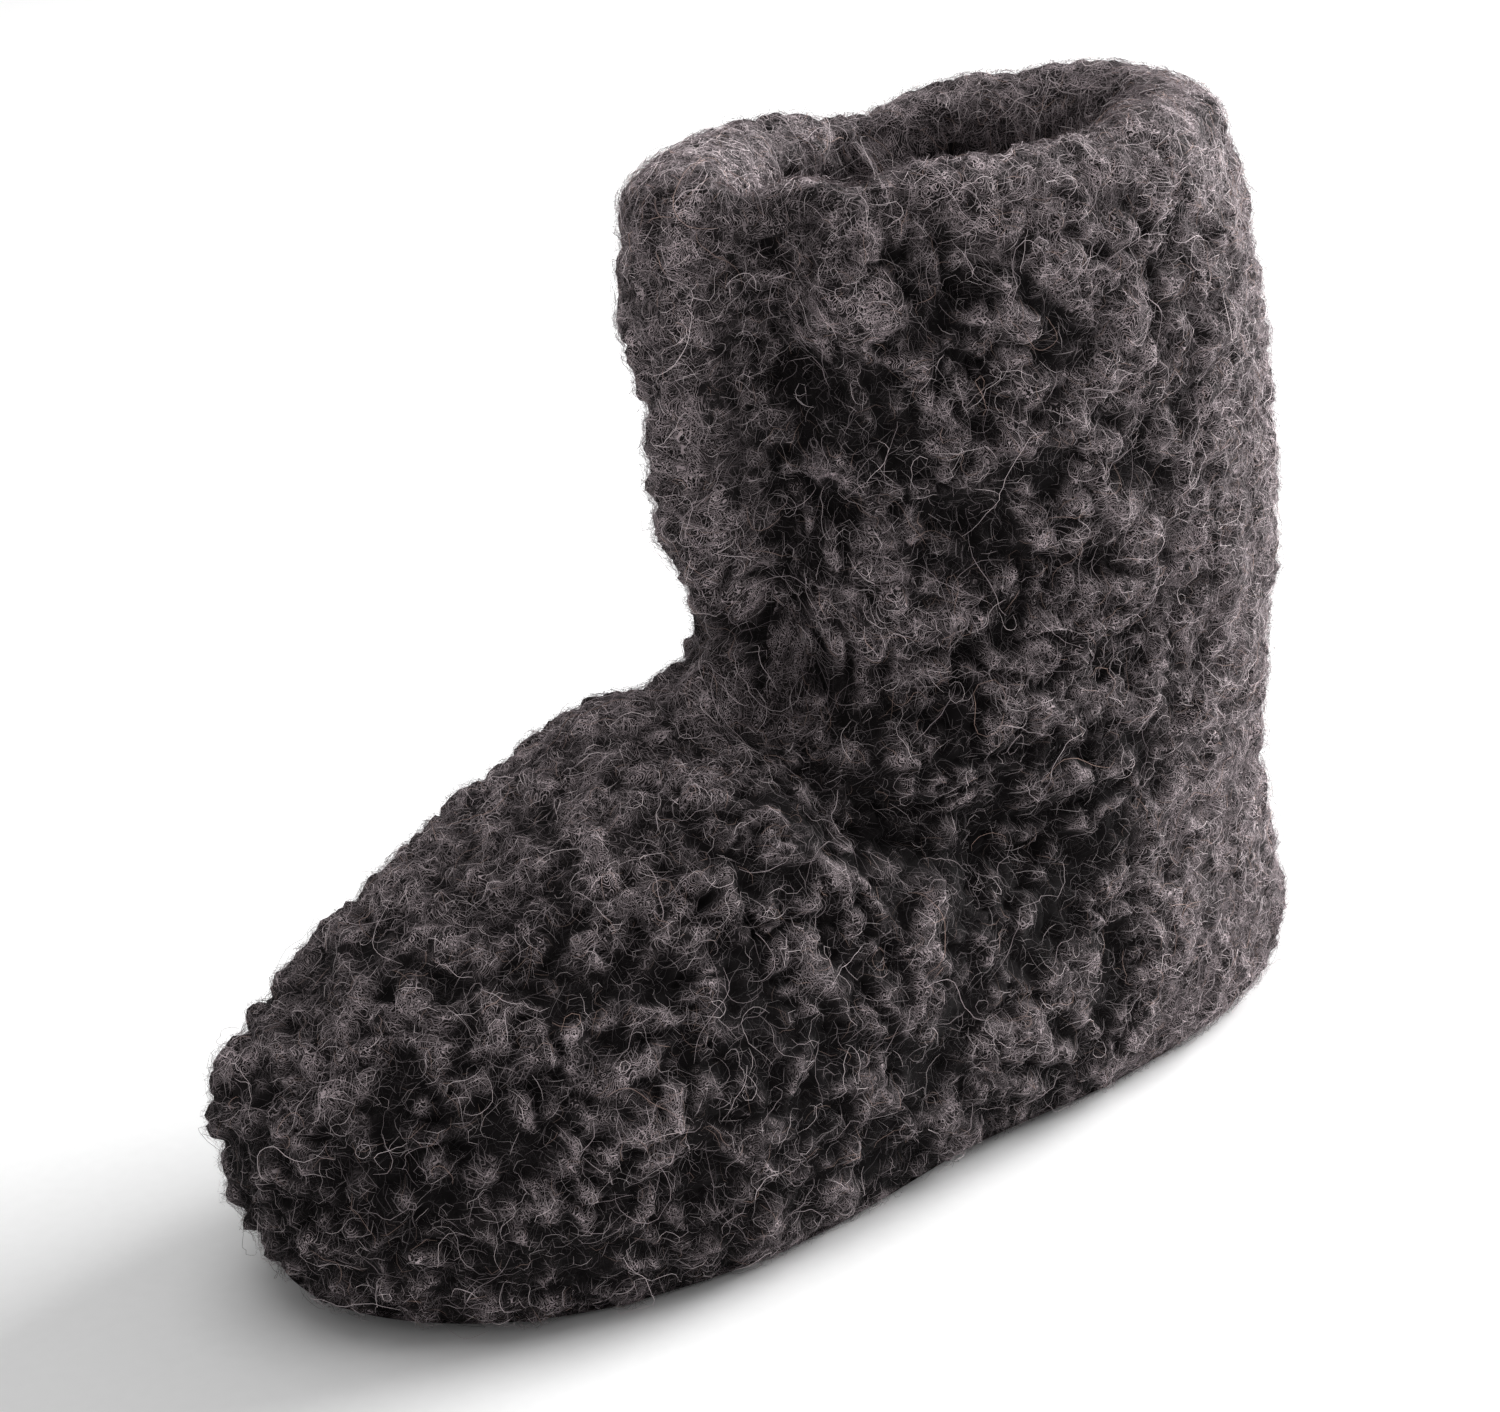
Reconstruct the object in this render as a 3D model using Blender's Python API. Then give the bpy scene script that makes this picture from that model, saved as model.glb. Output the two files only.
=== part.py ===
"""Wool fleece boot slipper for the left foot: a hollow fleece upper, a felt insole and a thin outsole.

Units are metres. +Z is up, +Y points to the toe and +X to the inner side of the foot.
The origin is on the floor, under the middle of the slipper.
"""
from collections import namedtuple
from math import cos, pi, sin

import bmesh
import bpy
import numpy as np

# Driving sizes over the fleece
LENGTH = 0.275
BALL_WIDTH = 0.116
HEEL_WIDTH = 0.097
TOE_SHIFT = 0.008
ANKLE_FRONT = 0.158
ANKLE_HEIGHT = 0.106
SHAFT_HEIGHT = 0.214
SHAFT_SETBACK = 0.024
SHAFT_DEPTH = 0.145
SHAFT_WIDTH = 0.093
CORNER = 2.35

# Wall of the fleece, with its pile, and the rolled edge of the collar
WALL = 0.010
LIP_RADIUS = 0.007
SEAM_MARGIN = 0.009

# The fleece reaches down around the sole's edge, nearly to the floor
SKIRT_HEIGHT = 0.001
SKIRT_REACH = 0.012

# Outsole and insole
SOLE_THICKNESS = 0.004
SOLE_INSET = 0.0035
SOLE_EDGE = 0.0008
ARCH_RISE = 0.0025
TOE_SPRING = 0.006
INSOLE_THICKNESS = 0.0045
GAP = 0.0003

# Locks of wool fused on the outer face, as clumps parted by crevices
LOCK_SPACING = 0.0165
LOCK_DEPTH = 0.0034
LOCK_JITTER = 0.32
LOCK_FADE = 0.008
SEED = 7

# How finely the surfaces are faceted
ANGLES = 96
OUTER_RINGS = 42
INNER_RINGS = 14
LIP_STEPS = 5
ANGLE_SPREAD = 0.18

SEAM_HEIGHT = SOLE_THICKNESS + GAP
RIM_HEIGHT = SHAFT_HEIGHT - LIP_RADIUS
COLLAR_FRONT = SHAFT_SETBACK + SHAFT_DEPTH

# Sections from the sole seam to the collar. Each is a loop that leans from its rear point to its front
# point. rear is a share of SHAFT_SETBACK, forward of the heel's back. toe is a share of the way from the
# ankle's front to the toe, and collar of the way from the ankle's front to the collar's front. A level is
# 0 at the sole seam, 1 at the ankle's crease and 2 at the rim. spread is a share of the width, and foot
# says how far the loop follows the foot's plan instead of the shaft's.
Section = namedtuple("Section", "way rear rear_level toe collar front_level spread foot")
SECTIONS = (
    Section(0.00, 0.28, 0.00, 0.89, 0.00, 0.00, 0.83, 1.00),
    Section(0.05, 0.16, 0.04, 0.95, 0.00, 0.07, 0.93, 1.00),
    Section(0.12, 0.05, 0.15, 0.97, 0.00, 0.18, 0.99, 1.00),
    Section(0.20, 0.18, 0.29, 0.98, 0.00, 0.37, 1.00, 1.00),
    Section(0.29, 0.32, 0.46, 0.89, 0.00, 0.51, 0.97, 0.90),
    Section(0.38, 0.30, 0.60, 0.71, 0.00, 0.68, 0.93, 0.70),
    Section(0.47, 0.23, 0.76, 0.41, 0.00, 0.87, 0.94, 0.45),
    Section(0.56, 0.22, 0.93, 0.12, 0.00, 1.00, 0.91, 0.22),
    Section(0.64, 0.26, 1.09, 0.00, 0.00, 1.06, 0.96, 0.08),
    Section(0.73, 0.34, 1.29, 0.00, 0.28, 1.27, 0.97, 0.00),
    Section(0.82, 0.54, 1.58, 0.00, 0.57, 1.55, 1.01, 0.00),
    Section(0.92, 0.74, 1.83, 0.00, 0.93, 1.80, 1.00, 0.00),
    Section(1.00, 1.00, 1.98, 0.00, 0.88, 1.95, 0.95, 0.00),
)

# The foot's plan along the length. centre is a share of TOE_SHIFT, and the width is heel shares of
# HEEL_WIDTH with ball shares of BALL_WIDTH.
PlanRow = namedtuple("PlanRow", "along centre heel ball")
FOOT_PLAN = (
    PlanRow(0.00, 0.0, 1.00, 0.00),
    PlanRow(0.15, 0.0, 0.98, 0.00),
    PlanRow(0.40, 0.4, 0.62, 0.36),
    PlanRow(0.55, 0.3, 0.24, 0.71),
    PlanRow(0.70, 0.3, 0.00, 0.98),
    PlanRow(0.85, 0.4, 0.00, 0.98),
    PlanRow(1.00, 1.0, 0.00, 0.91),
)

# The shaft's plan from its rear to its front, as shares of SHAFT_WIDTH
ShaftRow = namedtuple("ShaftRow", "across width")
SHAFT_PLAN = (
    ShaftRow(0.00, 0.88),
    ShaftRow(0.30, 1.00),
    ShaftRow(0.60, 0.97),
    ShaftRow(1.00, 0.70),
)

# The sole's rise off the floor: arch is a share of ARCH_RISE and spring of TOE_SPRING
SoleRow = namedtuple("SoleRow", "along arch spring")
SOLE_PROFILE = (
    SoleRow(0.00, 0.0, 0.0),
    SoleRow(0.28, 0.0, 0.0),
    SoleRow(0.45, 1.0, 0.0),
    SoleRow(0.60, 0.0, 0.0),
    SoleRow(0.77, 0.0, 0.0),
    SoleRow(0.90, 0.0, 0.4),
    SoleRow(1.00, 0.0, 1.0),
)

# Soft troughs where the slack fleece folds. side is -1 outside and 1 inside. The trough runs from its
# start to its end, each a share of LENGTH and a level, and reach and depth are metres.
Fold = namedtuple("Fold", "side start start_level end end_level reach depth")
FOLDS = (
    Fold(-1, 0.585, 2.05, 0.575, 1.20, 0.011, 0.0045),
    Fold(-1, 0.575, 1.12, 0.545, 0.82, 0.010, 0.0050),
    Fold(-1, 0.545, 0.82, 0.390, 0.68, 0.011, 0.0035),
    Fold(-1, 0.540, 1.38, 0.390, 1.18, 0.012, 0.0035),
    Fold(-1, 0.500, 1.90, 0.445, 1.55, 0.010, 0.0030),
    Fold(1, 0.570, 1.15, 0.540, 0.85, 0.010, 0.0045),
    Fold(1, 0.560, 1.60, 0.420, 1.35, 0.012, 0.0035),
    Fold(1, 0.300, 2.05, 0.330, 1.75, 0.012, 0.0035),
)

WOOL_COLOUR = (0.058, 0.049, 0.048, 1.0)
FELT_COLOUR = (0.036, 0.031, 0.031, 1.0)
SOLE_COLOUR = (0.030, 0.028, 0.029, 1.0)
WOOL_ROUGHNESS = 0.96
FELT_ROUGHNESS = 0.92
SOLE_ROUGHNESS = 0.78


def through(knots, values, at):
    """Smooth curve through the knots that never overshoots them, read at the given places."""
    knots = np.asarray(knots, dtype=float)
    values = np.asarray(values, dtype=float)
    step = np.diff(knots)
    slope = np.diff(values) / step
    tangent = np.concatenate([slope[:1], np.zeros(len(knots) - 2), slope[-1:]])
    near = 2 * step[1:] + step[:-1]
    far = step[1:] + 2 * step[:-1]
    turning = slope[:-1] * slope[1:] > 0
    before = np.where(turning, slope[:-1], 1.0)
    after = np.where(turning, slope[1:], 1.0)
    tangent[1:-1] = np.where(turning, (near + far) / (near / before + far / after), 0.0)
    at = np.clip(at, knots[0], knots[-1])
    place = np.clip(np.searchsorted(knots, at, side="right") - 1, 0, len(step) - 1)
    width = step[place]
    part = (at - knots[place]) / width
    rest = 1.0 - part
    return (
        values[place] * (1 + 2 * part) * rest**2
        + values[place + 1] * (3 - 2 * part) * part**2
        + tangent[place] * width * part * rest**2
        - tangent[place + 1] * width * rest * part**2
    )


def column(rows, name):
    """One named column of a table."""
    return [getattr(row, name) for row in rows]


def read_table(rows, key, name, at):
    """A table's column as a smooth curve over its key column."""
    return through(column(rows, key), column(rows, name), at)


def rise_of(level):
    """Height over the sole seam: level 1 is the ankle's crease and level 2 the rim."""
    foot = np.minimum(level, 1.0) * (ANKLE_HEIGHT - SEAM_HEIGHT)
    shaft = np.maximum(level - 1.0, 0.0) * (RIM_HEIGHT - ANKLE_HEIGHT)
    return foot + shaft


def sole_lift(y):
    """Height of the sole's underside at its arch and its toe spring."""
    along = y / LENGTH
    arch = read_table(SOLE_PROFILE, "along", "arch", along) * ARCH_RISE
    return arch + read_table(SOLE_PROFILE, "along", "spring", along) * TOE_SPRING


def rounded(value):
    """Sine or cosine of a loop with fuller corners than an oval."""
    return np.sign(value) * np.abs(value) ** (2.0 / CORNER)


def angles(count):
    """Places around a loop: 0 is the toe, and a quarter turn is the inner side."""
    turn = np.arange(count) / count * 2 * pi
    return turn + ANGLE_SPREAD * np.sin(2 * turn)


def form(way, angle):
    """Points of the slipper's form, with its shares across and its rise over the seam.

    way is 0 at the sole seam and 1 at the rim, and angle is as in angles.
    """
    way, angle = np.broadcast_arrays(np.asarray(way, dtype=float), np.asarray(angle, dtype=float))
    across = 0.5 + 0.5 * rounded(np.cos(angle))
    rear_y = read_table(SECTIONS, "way", "rear", way) * SHAFT_SETBACK
    front_y = (
        ANKLE_FRONT
        + read_table(SECTIONS, "way", "toe", way) * (LENGTH - ANKLE_FRONT)
        + read_table(SECTIONS, "way", "collar", way) * (COLLAR_FRONT - ANKLE_FRONT)
    )
    rear_rise = rise_of(read_table(SECTIONS, "way", "rear_level", way))
    front_rise = rise_of(read_table(SECTIONS, "way", "front_level", way))
    y = rear_y + (front_y - rear_y) * across
    rise = rear_rise + (front_rise - rear_rise) * across

    along = y / LENGTH
    foot = read_table(SECTIONS, "way", "foot", way)
    foot_width = (
        read_table(FOOT_PLAN, "along", "heel", along) * HEEL_WIDTH
        + read_table(FOOT_PLAN, "along", "ball", along) * BALL_WIDTH
    )
    shaft_width = read_table(SHAFT_PLAN, "across", "width", across) * SHAFT_WIDTH
    width = foot * foot_width + (1.0 - foot) * shaft_width
    spread = read_table(SECTIONS, "way", "spread", way)
    centre = read_table(FOOT_PLAN, "along", "centre", along) * TOE_SHIFT * foot
    x = centre + 0.5 * width * spread * rounded(np.sin(angle))

    settle = np.clip(1.0 - rise / ANKLE_HEIGHT, 0.0, 1.0) ** 2
    skirt = (SEAM_HEIGHT - SKIRT_HEIGHT) * np.clip(1.0 - rise / SKIRT_REACH, 0.0, 1.0) ** 2
    z = SEAM_HEIGHT + rise + sole_lift(y) * settle - skirt
    return np.stack([x, y, z], axis=-1)


def form_normals(way, angle):
    """Outward unit normals of the form."""
    small = 0.002
    low = np.clip(np.asarray(way) - small, 0.0, 1.0)
    high = np.clip(np.asarray(way) + small, 0.0, 1.0)
    up = form(high, angle) - form(low, angle)
    around = form(way, angle + small) - form(way, angle - small)
    normal = np.cross(up, around)
    return normal / np.linalg.norm(normal, axis=-1, keepdims=True)


def fold_depth(points):
    """How deep the folds press into the fleece at each point."""
    depth = np.zeros(points.shape[:-1])
    for fold in FOLDS:
        start = np.array([fold.start * LENGTH, SEAM_HEIGHT + rise_of(fold.start_level)])
        end = np.array([fold.end * LENGTH, SEAM_HEIGHT + rise_of(fold.end_level)])
        run = end - start
        offset = points[..., 1:] - start
        share = np.clip((offset @ run) / (run @ run), 0.0, 1.0)
        distance = np.linalg.norm(offset - share[..., None] * run, axis=-1)
        reached = np.clip(fold.side * points[..., 0] / fold.reach, 0.0, 1.0)
        depth = depth + fold.depth * np.exp(-((distance / fold.reach) ** 2)) * reached
    return depth


def lock_centres():
    """Centres of the wool's locks: staggered rows around the form, each a little out of place."""
    random = np.random.default_rng(SEED)
    rows = round(rise_of(2.0) / LOCK_SPACING) + 1
    centres = []
    for row in range(rows):
        way = row / (rows - 1)
        loop = form(way, angles(ANGLES))
        sides = np.linalg.norm(np.roll(loop, -1, axis=0) - loop, axis=1)
        count = round(sides.sum() / LOCK_SPACING)
        places = (np.arange(count) + 0.5 * (row % 2)) / count
        places = places + random.uniform(-LOCK_JITTER, LOCK_JITTER, count) / count
        ways = way + random.uniform(-LOCK_JITTER, LOCK_JITTER, count) / (rows - 1)
        travelled = np.concatenate([[0.0], np.cumsum(sides)]) / sides.sum()
        turn = np.append(angles(ANGLES), 2 * pi)
        centres.append(form(np.clip(ways, 0.0, 1.0), np.interp(places % 1.0, travelled, turn)))
    return np.concatenate(centres)


def lock_depth(points, centres):
    """How far the surface sinks into the crevices between locks."""
    flat = points.reshape(-1, 3)
    distance = np.linalg.norm(flat[:, None, :] - centres[None, :, :], axis=-1).min(axis=1)
    sunk = np.clip(distance / (0.62 * LOCK_SPACING), 0.0, 1.0) ** 2
    return LOCK_DEPTH * sunk.reshape(points.shape[:-1])


def inward(loop):
    """Level unit directions to the inside of a closed loop of points."""
    tangent = np.roll(loop, -1, axis=0) - np.roll(loop, 1, axis=0)
    direction = np.stack([-tangent[:, 1], tangent[:, 0], np.zeros(len(loop))], axis=-1)
    direction = direction / np.linalg.norm(direction, axis=1, keepdims=True)
    to_middle = loop.mean(axis=0) - loop
    return direction * np.sign((direction * to_middle).sum())


def seam_outline(count, inset):
    """The sole seam's loop, moved in by the inset, at floor height plus the sole's lift."""
    loop = form(0.0, angles(count))
    loop = loop + inward(loop) * inset
    loop[:, 2] = sole_lift(loop[:, 1])
    return loop


def outer_loops():
    """Loops of the upper's outer face, from its lower edge over the rim to the inside of the lip."""
    around = angles(ANGLES)[None, :]
    ways = np.linspace(0.0, 1.0, OUTER_RINGS)[:, None]
    loops = form(ways, around)
    normals = form_normals(ways, around)
    top = loops[-1]
    into = inward(top)
    lip = []
    lip_normals = []
    for step in range(1, LIP_STEPS + 1):
        turn = pi * step / LIP_STEPS
        rise = np.array([0.0, 0.0, LIP_RADIUS * sin(turn)])
        lip.append(top + into * LIP_RADIUS * (1 - cos(turn)) + rise)
        lip_normals.append(-into * cos(turn) + np.array([0.0, 0.0, sin(turn)]))
    loops = np.concatenate([loops, np.array(lip)])
    normals = np.concatenate([normals, np.array(lip_normals)])

    above = loops[..., 2] - SEAM_HEIGHT - sole_lift(loops[..., 1])
    locks = lock_depth(loops, lock_centres()) * np.clip(above / LOCK_FADE, 0.0, 1.0)
    locks[-1] = 0.0
    sunk = locks + fold_depth(loops) * np.clip(above / LOCK_FADE, 0.0, 1.0)
    return loops - normals * sunk[..., None]


def inner_loops():
    """Loops of the upper's inner face, from under the lip to the sole seam and down around the sole."""
    around = angles(ANGLES // 2)[None, :]
    ways = np.linspace(0.95, 0.10, INNER_RINGS)[:, None]
    loops = form(ways, around)
    under_lip = np.clip((ways - 0.85) / 0.15, 0.0, 1.0)
    wall = WALL + (2 * LIP_RADIUS - WALL) * under_lip
    depth = wall + fold_depth(loops)
    loops = loops - form_normals(ways, around) * depth[..., None]
    under = []
    for inset, height in (
        (SEAM_MARGIN, SEAM_HEIGHT),
        (SOLE_INSET - GAP, SEAM_HEIGHT),
        (SOLE_INSET - GAP, SKIRT_HEIGHT),
    ):
        under.append(seam_outline(ANGLES // 2, inset) + np.array([0.0, 0.0, height]))
    return np.concatenate([loops, np.array(under)])


def new_object(name, mesh_data, material, collection):
    """A smooth object from a mesh under construction."""
    mesh = bpy.data.meshes.new(name)
    mesh_data.to_mesh(mesh)
    mesh_data.free()
    mesh.shade_smooth()
    mesh.materials.append(material)
    piece = bpy.data.objects.new(name, mesh)
    collection.objects.link(piece)
    return piece


def add_loops(mesh_data, loops, origin):
    """Vertices for each loop, as lists in the loops' order."""
    return [[mesh_data.verts.new(point - origin) for point in loop] for loop in loops]


def bridge(mesh_data, first, second):
    """Faces between two loops, of which the second may have half as many points."""
    count = len(first)
    ratio = count // len(second)
    for index in range(0, count, ratio):
        span = [first[(index + part) % count] for part in range(ratio + 1)]
        low = second[index // ratio]
        high = second[(index // ratio + 1) % len(second)]
        if ratio > 1:
            mesh_data.faces.new([low, span[1], span[0]])
        mesh_data.faces.new([low, high, span[-1], span[-2]])


def close_loop(mesh_data, loop):
    """Faces across a loop, in strips between its two sides from the toe to the heel.

    They face down, or up where the loop is given backwards.
    """
    count = len(loop)
    mesh_data.faces.new([loop[0], loop[1], loop[-1]])
    for index in range(1, count // 2 - 1):
        mesh_data.faces.new([loop[index], loop[index + 1], loop[count - index - 1], loop[count - index]])
    half = count // 2
    mesh_data.faces.new([loop[half - 1], loop[half], loop[half + 1]])


def build_upper(origin, material, collection):
    """The hollow fleece shell, open at the collar and underneath."""
    mesh_data = bmesh.new()
    outer = add_loops(mesh_data, outer_loops(), origin)
    inner = add_loops(mesh_data, inner_loops(), origin)
    loops = outer + inner
    for first, second in zip(loops, loops[1:]):
        bridge(mesh_data, first, second)
    bridge(mesh_data, outer[0][:1] + outer[0][:0:-1], inner[-1][:1] + inner[-1][:0:-1])
    return new_object("upper", mesh_data, material, collection)


def build_slab(name, inset, bottom, thickness, edge, origin, material, collection):
    """A flat soft piece with the sole's outline, curve and rise, and with a small bevelled edge."""
    mesh_data = bmesh.new()
    full = seam_outline(ANGLES // 2, inset)
    small = seam_outline(ANGLES // 2, inset + edge)
    heights = (bottom, bottom + edge, bottom + thickness - edge, bottom + thickness)
    loops = []
    for outline, height in zip((small, full, full, small), heights):
        loops.append(outline + np.array([0.0, 0.0, height]))
    rings = add_loops(mesh_data, loops, origin)
    for first, second in zip(rings, rings[1:]):
        bridge(mesh_data, first, second)
    close_loop(mesh_data, rings[0])
    close_loop(mesh_data, rings[-1][:1] + rings[-1][:0:-1])
    return new_object(name, mesh_data, material, collection)


def soft_material(name, colour, roughness):
    """A matt material in one colour."""
    material = bpy.data.materials.new(name)
    material.use_nodes = True
    shader = material.node_tree.nodes["Principled BSDF"]
    shader.inputs["Base Color"].default_value = colour
    shader.inputs["Roughness"].default_value = roughness
    shader.inputs["Metallic"].default_value = 0.0
    return material


def floor_origin():
    """The point on the floor under the middle of the upper's box."""
    points = outer_loops().reshape(-1, 3)
    middle = (points.min(axis=0) + points.max(axis=0)) / 2
    return np.array([middle[0], middle[1], 0.0])


def main():
    """Builds the slipper's three pieces in one collection."""
    for old in list(bpy.data.objects):
        bpy.data.objects.remove(old, do_unlink=True)
    collection = bpy.data.collections.new("wool_boot_slipper")
    bpy.context.scene.collection.children.link(collection)
    wool = soft_material("dark_fleece", WOOL_COLOUR, WOOL_ROUGHNESS)
    felt = soft_material("wool_felt", FELT_COLOUR, FELT_ROUGHNESS)
    suede = soft_material("soft_sole", SOLE_COLOUR, SOLE_ROUGHNESS)
    origin = floor_origin()
    build_upper(origin, wool, collection)
    build_slab("outsole", SOLE_INSET, 0.0, SOLE_THICKNESS, SOLE_EDGE, origin, suede, collection)
    build_slab(
        "insole", SEAM_MARGIN + GAP, SEAM_HEIGHT, INSOLE_THICKNESS, SOLE_EDGE, origin, felt, collection
    )


main()
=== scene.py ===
"""Looks of the wool fleece boot slipper for the left foot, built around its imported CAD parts.

Units are metres. +Z is up, +Y points to the toe and +X to the inner side of the foot. The form's own
tables put the heel's back at y = 0, and each piece is moved to the frame's origin when it is built.
"""

import logging
from collections.abc import Mapping, Sequence
from dataclasses import dataclass, field
from enum import Enum
from math import pi
from typing import Any

import bpy
import numpy as np
from mathutils import Matrix


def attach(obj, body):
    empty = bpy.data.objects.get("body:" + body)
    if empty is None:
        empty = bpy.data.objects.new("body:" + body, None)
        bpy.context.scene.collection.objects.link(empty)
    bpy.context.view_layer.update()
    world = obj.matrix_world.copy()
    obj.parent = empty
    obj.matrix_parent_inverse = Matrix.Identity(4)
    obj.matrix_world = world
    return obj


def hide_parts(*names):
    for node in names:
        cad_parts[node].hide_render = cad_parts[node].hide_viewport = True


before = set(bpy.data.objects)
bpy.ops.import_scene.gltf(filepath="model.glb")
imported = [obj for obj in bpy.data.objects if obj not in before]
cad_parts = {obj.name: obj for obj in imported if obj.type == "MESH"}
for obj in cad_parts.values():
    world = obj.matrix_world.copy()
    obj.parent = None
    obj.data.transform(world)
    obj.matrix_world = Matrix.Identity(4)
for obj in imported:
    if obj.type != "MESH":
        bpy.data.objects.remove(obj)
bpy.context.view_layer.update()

LOG = logging.getLogger("boot_slipper")
Array = np.ndarray
Colour = tuple[float, float, float]
Span = tuple[float, float]
BAKE_MAP = "OFBake"
ROOT = "root"
CELL_CORNERS = ((0, 0), (1, 0), (1, 1), (0, 1))


def smooth_step(value: Array, low: float, high: float) -> Array:
    """Eased share of the way from low to high, from 0 to 1."""
    share = np.clip((value - low) / (high - low), 0.0, 1.0)
    return share * share * (3.0 - 2.0 * share)


def unit(vectors: Array) -> Array:
    """Vectors scaled to length one."""
    return vectors / np.maximum(np.linalg.norm(vectors, axis=-1, keepdims=True), 1e-12)


def through(knots: Sequence[float], values: Sequence[float], at: Array) -> Array:
    """Smooth curve through the knots that never overshoots them.

    Args:
        knots: rising places of the known values.
        values: the value at each knot.
        at: places to read the curve at.

    Returns:
        The curve's value at each place.
    """
    knots = np.asarray(knots, dtype=float)
    values = np.asarray(values, dtype=float)
    step = np.diff(knots)
    slope = np.diff(values) / step
    tangent = np.concatenate([slope[:1], np.zeros(len(knots) - 2), slope[-1:]])
    near = 2 * step[1:] + step[:-1]
    far = step[1:] + 2 * step[:-1]
    turning = slope[:-1] * slope[1:] > 0
    before = np.where(turning, slope[:-1], 1.0)
    after = np.where(turning, slope[1:], 1.0)
    tangent[1:-1] = np.where(turning, (near + far) / (near / before + far / after), 0.0)
    at = np.clip(at, knots[0], knots[-1])
    place = np.clip(np.searchsorted(knots, at, side="right") - 1, 0, len(step) - 1)
    width = step[place]
    part = (at - knots[place]) / width
    rest = 1.0 - part
    return (
        values[place] * (1 + 2 * part) * rest**2
        + values[place + 1] * (3 - 2 * part) * part**2
        + tangent[place] * width * part * rest**2
        - tangent[place + 1] * width * rest * part**2
    )


@dataclass(frozen=True)
class Table:
    """Rows of numbers, of which the first column is the key and the others are named curves."""

    columns: str
    rows: tuple[tuple[float, ...], ...]

    def read(self, name: str, at: Array) -> Array:
        """The named column as a smooth curve over the key."""
        index = self.columns.split().index(name)
        return through([row[0] for row in self.rows], [row[index] for row in self.rows], at)


@dataclass(frozen=True)
class Fold:
    """A soft trough in the fleece: start and end are (share of length, level)."""

    side: int
    start: tuple[float, float]
    end: tuple[float, float]
    reach: float
    depth: float


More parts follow.
